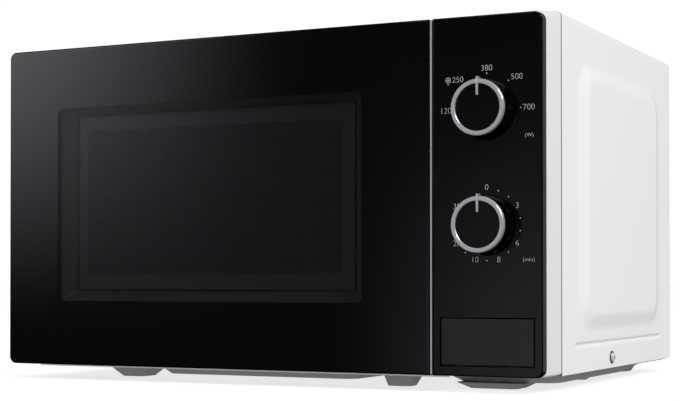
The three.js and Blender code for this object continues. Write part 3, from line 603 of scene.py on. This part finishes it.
def cabinet_shell():
    """The folded sheet: two embossed sides, the top, a front hem and a flange round the back; the hem is
    coloured near black as painted shade for the seam in front of it.
    """
    y0 = CABINET_LO.y - FRONT
    y1 = CABINET_HI.y - FRONT
    bottom, top = CABINET_LO.z, CABINET_HI.z
    hem = 0.8 * MM
    depths = [y0, y0 + hem, *stations(y0 + 2 * MM, y1 - 1.5 * MM, CELL), y1 - 0.4 * MM, y1]
    groove_low, groove_high = GROOVE["z"] - 3.5 * MM, GROOVE["z"] + 3.5 * MM
    heights = stations(bottom, groove_low, CELL)[:-1]
    heights += stations(groove_low, groove_high, FINE_CELL)[:-1]
    heights += stations(groove_high, top - HOOD_CORNER, CELL)

    def build(grid):
        rows = []
        for y in depths:
            tuck = 0.5 * MM if y in (depths[0], depths[-1]) else 0.0
            right = [(SIDE - tuck + side_relief(y, z), z) for z in heights]
            reach = HOOD_CORNER - tuck
            corner = [
                (SIDE - HOOD_CORNER + reach * math.cos(t), top - HOOD_CORNER + reach * math.sin(t))
                for t in [k / 8 * math.pi / 2 for k in range(1, 9)]
            ]
            half = right + corner
            loop = half + [(-x, z) for x, z in reversed(half)]
            rows.append([grid.verts.new((x, FRONT + y, z)) for x, z in loop])
        for number, (first, second) in enumerate(zip(rows, rows[1:])):
            for i in range(len(first) - 1):
                face = grid.faces.new((first[i], first[i + 1], second[i + 1], second[i]))
                # The first row, the front hem, takes the seam colour: painted shade for the gap at the
                # seam.
                face.material_index = 1 if number == 0 else 0
        last = rows[-1]
        narrower = 1 - REAR_FLANGE / SIDE
        edge = [
            grid.verts.new((v.co.x * narrower, v.co.y, min(v.co.z, top - REAR_FLANGE))) for v in last
        ]
        for i in range(len(last) - 1):
            grid.faces.new((last[i], last[i + 1], edge[i + 1], edge[i]))

    made = piece(
        "cabinet_shell", build, "chassis", "white_paint", WHITE_PAINT, SEAM_SHADE,
        replaces=["outer_cabinet"], smooth=25,
    )
    thick = made.modifiers.new("sheet", "SOLIDIFY")
    thick.thickness = 0.8 * MM
    thick.offset = -1
    split = made.modifiers.new("crisp_rims", "EDGE_SPLIT")
    split.split_angle = math.radians(30)


def housing():
    """The white moulding behind the fascia: its top climbs to meet the cabinet's."""
    lo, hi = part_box("control_housing")
    start = FASCIA_HI.z + 0.9 * MM
    hem = 0.6 * MM

    def section(grid, y, inset):
        top = start + (hi.z - start) * (y - lo.y) / (hi.y - lo.y)
        return ring(grid, lo.x, SIDE, lo.z, top, HOUSING_RADII, y, inset)

    def build(grid):
        front = edge_profile(lo.y, lo.y + 1 * MM, 0.8 * MM)
        outer = [section(grid, y, inset) for y, inset in front + [(hi.y - hem, 0.0), (hi.y, hem)]]
        for number, (first, second) in enumerate(zip(outer, outer[1:])):
            # The last row, the rear hem, takes the seam colour: painted shade for the gap at the seam.
            bridge(grid, first, second, 1 if number == len(outer) - 2 else 0)
        wall = 2.4 * MM
        inner = [section(grid, y, wall) for y in (hi.y, lo.y + 2 * MM)]
        bridge(grid, outer[-1], inner[0])
        bridge(grid, inner[0], inner[1])
        rim = 4.5 * MM  # narrow enough for the button to pass
        bridge(grid, outer[0], section(grid, lo.y, rim))

    piece(
        "housing_shell", build, "chassis", "white_plastic", WHITE_PLASTIC, SEAM_SHADE,
        replaces=["control_housing"], smooth=30,
    )


def coil_spring(name, node, axis, radius, wire, turns):
    """A round wire wound along an axis, put in the place of a spring part, which it hides."""
    lo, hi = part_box(node)
    centre = (lo + hi) / 2
    bottom, top = (getattr(corner, axis) for corner in (lo, hi))
    steps = turns * 24
    closed = 0.8  # of a turn lies flat at each end

    def build(grid):
        rows = []
        for i in range(steps + 1):
            turned = i / steps * turns
            angle = turned * 2 * math.pi
            rise = min(max((turned - closed) / (turns - 2 * closed), 0), 1)
            along = bottom + wire + rise * (top - bottom - 2 * wire)
            row = []
            for k in range(8):
                t = k * math.pi / 4
                reach = radius + wire / 2 * math.cos(t)
                u, v = reach * math.cos(angle), reach * math.sin(angle)
                w = along + wire / 2 * math.sin(t)
                upright = (centre.x + u, centre.y + v, w)
                row.append(grid.verts.new((centre.x + u, w, centre.z + v) if axis == "y" else upright))
            rows.append(row)
        for first, second in zip(rows, rows[1:]):
            bridge(grid, first, second)
        grid.faces.new(rows[0])
        grid.faces.new(rows[-1])

    made = mesh_object(name, build, WIRE)
    made.data.shade_smooth()
    start, end = centre.copy(), centre.copy()
    setattr(start, axis, top - 2 * wire)
    setattr(end, axis, bottom + 2 * wire)
    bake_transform(made)
    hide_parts(node)


def screws():
    """Pan-head screws: one low on each side, whose cross recess is a flat black cross of painted shade, and
    six round the back.
    """
    side_lo, side_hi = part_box("side_screw_right")
    depth, height = (side_lo.y + side_hi.y) / 2, (side_lo.z + side_hi.z) / 2
    head = [(0, 2.4), (1.6, 2.3), (3.1, 1.5), (3.9, 0.2), (3.9, 0)]
    rim = [(4.7, 0), (4.7, 0.5), (4.4, 0.9), (3.95, 0.9), (3.95, 0)]

    def build_side(sign):
        def build(grid):
            for index, profile in enumerate((head, rim)):
                known = set(grid.faces)
                revolve(grid, Vector((0, 0, 0)), [(r * MM, h * MM) for r, h in profile], 32)
                for face in set(grid.faces) - known:
                    face.material_index = 2 * index
            for v in grid.verts:
                x, y, z = v.co
                v.co = Vector((sign * (SIDE + y), depth + x, height + z))
            # The cross is a flat black sheet laid just above the head: painted shade for the recess, not a
            # hollow.
            for turn in (0, math.pi / 2):
                along = Vector((0, math.cos(turn), math.sin(turn))) * 1.5 * MM
                side = Vector((0, -math.sin(turn), math.cos(turn))) * 0.3 * MM
                at = Vector((sign * (SIDE + 2.45 * MM), depth, height))
                stroke = (-along - side, along - side, along + side, side - along)
                face = grid.faces.new([grid.verts.new(at + p) for p in stroke])
                face.material_index = 1

        return build

    finishes = (SCREW_HEAD, MATT_BLACK, SCREW_RIM)
    piece(
        "side_screw_head_right", build_side(1), "chassis", "screw_plating", *finishes,
        replaces=["side_screw_right"], smooth=35,
    )
    piece(
        "side_screw_head_left", build_side(-1), "chassis", "screw_plating", *finishes, smooth=35
    )
    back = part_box("rear_panel")[1].y
    places = [(sx * 206 * MM, z * MM) for sx in (-1, 1) for z in (28, 134, 247)]
    dome = [(0, 1.3 * MM), (2.4 * MM, 1.0 * MM), (3.6 * MM, 0), (0, 0)]
    for number, (x, z) in enumerate(places, 1):
        piece(
            f"rear_screw_{number}",
            lambda g, x=x, z=z: revolve(g, Vector((x, back, z)), dome, 24),
            "chassis", "screw_plating", SILVER, smooth=35,
        )


# ---------------------------------------------------------------- turntable and lower edge
def turntable():
    """The glass dish: a flat floor that sweeps up to a rounded rim."""
    lo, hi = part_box("turntable_plate")
    radius = (hi.x - lo.x) / 2
    centre = Vector(((lo.x + hi.x) / 2, (lo.y + hi.y) / 2, hi.z - 11.4 * MM))
    dish = [
        (0, 0), (106, 0), (110, 0.8), (122, 5.4), (126.7, 9), (127.5, 10.6), (127, 11.2),
        (125.5, 11.4), (124, 10.6), (118, 7.2), (109, 4.6), (104, 4), (0, 4),
    ]
    piece(
        "turntable_dish",
        lambda g: revolve(g, centre, [(min(r * MM, radius), h * MM) for r, h in dish], 128, "z"),
        "turntable", "clear_glass", CLEAR, replaces=["turntable_plate"], smooth=30,
    )


def soften_cad_nodes():
    """Smooth-shades the solids that show, keeping their edges sharper than 38 degrees crisp."""
    feet = [f"foot_{end}_{side}" for end in ("front", "rear") for side in ("left", "right")]
    for name in [*feet, "base_plate", "door_frame"]:
        node = nodes[name]
        node.data.shade_smooth()
        node.data.set_sharp_from_angle(angle=math.radians(38))


# ---------------------------------------------------------------- studio
def floor():
    """A plain pale floor that looks white and takes a soft shadow."""
    mesh = bpy.data.meshes.new("floor")
    grid = bmesh.new()
    bmesh.ops.create_grid(grid, x_segments=1, y_segments=1, size=30)
    grid.to_mesh(mesh)
    grid.free()
    made = bpy.data.objects.new("floor", mesh)
    made.location.z = -0.0002
    bpy.context.scene.collection.objects.link(made)
    paper = material("floor_paper", (0.34, 0.34, 0.34), 0.9, grain=0.01)
    shader = paper.node_tree.nodes["Principled BSDF"]
    shader.inputs["Emission Color"].default_value = (1, 1, 1, 1)
    shader.inputs["Emission Strength"].default_value = 0.74
    mesh.materials.append(paper)
    made.visible_glossy = False
    made.visible_diffuse = False


def glow_card(name, corners):
    """A card that only glossy surfaces see. Returns its node tree and its emission node."""
    mesh = bpy.data.meshes.new(name)
    grid = bmesh.new()
    grid.faces.new([grid.verts.new(corner) for corner in corners])
    grid.to_mesh(mesh)
    grid.free()
    card = bpy.data.objects.new(name, mesh)
    bpy.context.scene.collection.objects.link(card)
    shade = bpy.data.materials.new(name)
    shade.use_nodes = True
    tree = shade.node_tree
    tree.nodes.clear()
    glow = tree.nodes.new("ShaderNodeEmission")
    out = tree.nodes.new("ShaderNodeOutputMaterial")
    tree.links.new(glow.outputs["Emission"], out.inputs["Surface"])
    mesh.materials.append(shade)
    card.visible_camera = False
    card.visible_diffuse = False
    card.visible_shadow = False
    card.visible_transmission = False
    return tree, glow


def reflection_card():
    """A softly graded card that the glass mirrors: bright to the upper left, faint to the lower right."""
    y = -3.15
    outline = [(-4.2, -0.9), (0.6, -0.9), (0.6, 2.4), (-4.2, 2.4)]
    tree, glow = glow_card("studio_card", [(x, y, z) for x, z in outline])
    place = tree.nodes.new("ShaderNodeTexCoord")
    split = tree.nodes.new("ShaderNodeSeparateXYZ")
    tree.links.new(place.outputs["Object"], split.inputs["Vector"])

    def ramp(socket, start, end, smooth=True):
        node = tree.nodes.new("ShaderNodeMapRange")
        node.interpolation_type = "SMOOTHSTEP" if smooth else "LINEAR"
        node.inputs["From Min"].default_value = start
        node.inputs["From Max"].default_value = end
        tree.links.new(split.outputs[socket], node.inputs["Value"])
        return node.outputs["Result"]

    def combine(kind, a, b):
        node = tree.nodes.new("ShaderNodeMath")
        node.operation = kind
        for slot, value in zip(node.inputs, (a, b)):
            if isinstance(value, float):
                slot.default_value = value
            else:
                tree.links.new(value, slot)
        return node.outputs[0]

    upper_left = combine("MULTIPLY", ramp("X", -1.55, -2.75), ramp("Z", -0.1, 1.1))
    lower_right = combine("MULTIPLY", ramp("X", -1.45, -0.8), ramp("Z", 0.75, -0.2))
    bright = combine("MULTIPLY", upper_left, 2.5)
    faint = combine("MULTIPLY", lower_right, 0.5)
    level = combine("ADD", combine("ADD", bright, faint), 0.03)
    glow.inputs["Color"].default_value = (0.88, 0.92, 1.0, 1)
    tree.links.new(level, glow.inputs["Strength"])


def side_card():
    """A dim card behind to the right, which the black edges that face right mirror."""
    outline = [(0.45, 2.0, -0.5), (1.6, 1.6, -0.5), (1.6, 1.6, 1.2), (0.45, 2.0, 1.2)]
    glow = glow_card("side_card", outline)[1]
    glow.inputs["Strength"].default_value = 0.35


def area_light(name, at, target, size, power):
    data = bpy.data.lights.new(name, "AREA")
    data.shape = "RECTANGLE"
    data.size, data.size_y = size
    data.energy = power
    made = bpy.data.objects.new(name, data)
    made.location = at
    made.rotation_euler = (Vector(target) - Vector(at)).to_track_quat("-Z", "Y").to_euler()
    bpy.context.scene.collection.objects.link(made)


def studio():
    """White surroundings, four soft lights, the floor and the two cards."""
    world = bpy.data.worlds.new("studio")
    bpy.context.scene.world = world
    world.use_nodes = True
    tree = world.node_tree
    back = tree.nodes["Background"]
    back.inputs["Color"].default_value = (1, 1, 1, 1)
    direction = tree.nodes.new("ShaderNodeTexCoord")
    split = tree.nodes.new("ShaderNodeSeparateXYZ")
    tree.links.new(direction.outputs["Generated"], split.inputs["Vector"])

    def graded(start, end, low, high):
        """A level that climbs from low to high as a direction rises from start to end."""
        node = tree.nodes.new("ShaderNodeMapRange")
        for key, value in zip(("From Min", "From Max", "To Min", "To Max"), (start, end, low, high)):
            node.inputs[key].default_value = value
        tree.links.new(split.outputs["Z"], node.inputs["Value"])
        return node.outputs["Result"]

    total = tree.nodes.new("ShaderNodeMath")
    total.operation = "SUBTRACT"
    # White above the horizon and dimmer below it, then softer overhead so that the top keeps its shape.
    tree.links.new(graded(-0.6, -0.02, 0.52, 1.04), total.inputs[0])
    tree.links.new(graded(0.4, 0.9, 0, 0.5), total.inputs[1])
    tree.links.new(total.outputs[0], back.inputs["Strength"])
    world.cycles_visibility.glossy = False
    area_light("key", (0.2, -0.6, 2.2), (0, 0, 0.1), (1.6, 1.2), 3)
    area_light("right", (2.3, -0.9, 2.0), (0.2, 0, 0.13), (0.7, 0.7), 40)
    area_light("left_rear", (-1.9, 1.4, 1.4), (0, 0, 0.1), (1.4, 1.4), 4)
    area_light("ring_glint", (-0.1, -1.7, 1.5), (0.18, -0.15, 0.15), (1.1, 0.5), 6)
    bpy.context.scene.view_settings.view_transform = "Standard"
    floor()
    reflection_card()
    side_card()


def camera():
    data = bpy.data.cameras.new("camera")
    data.lens = CAMERA_LENS
    data.sensor_width = 36
    data.shift_y = CAMERA_SHIFT_Y
    data.clip_end = 100
    made = bpy.data.objects.new("camera", data)
    made.location = CAMERA_AT
    made.rotation_euler = (math.pi / 2 + CAMERA_PITCH, 0, CAMERA_YAW)
    bpy.context.scene.collection.objects.link(made)
    bpy.context.scene.camera = made


camera()
studio()
finish_cad_nodes()
soften_cad_nodes()
door()
door_screen()
control_panel()
power_centre = knob("power_knob", "power_dial")
timer_centre = knob("timer_knob", "timer_dial")
markings(power_centre, timer_centre)
housing()
cabinet_shell()
screws()
turntable()
coil_spring("button_coil", "button_spring", "y", 4.5 * MM, 0.9 * MM, 6)
coil_spring("latch_coil", "latch_spring", "z", 3 * MM, 0.8 * MM, 7)
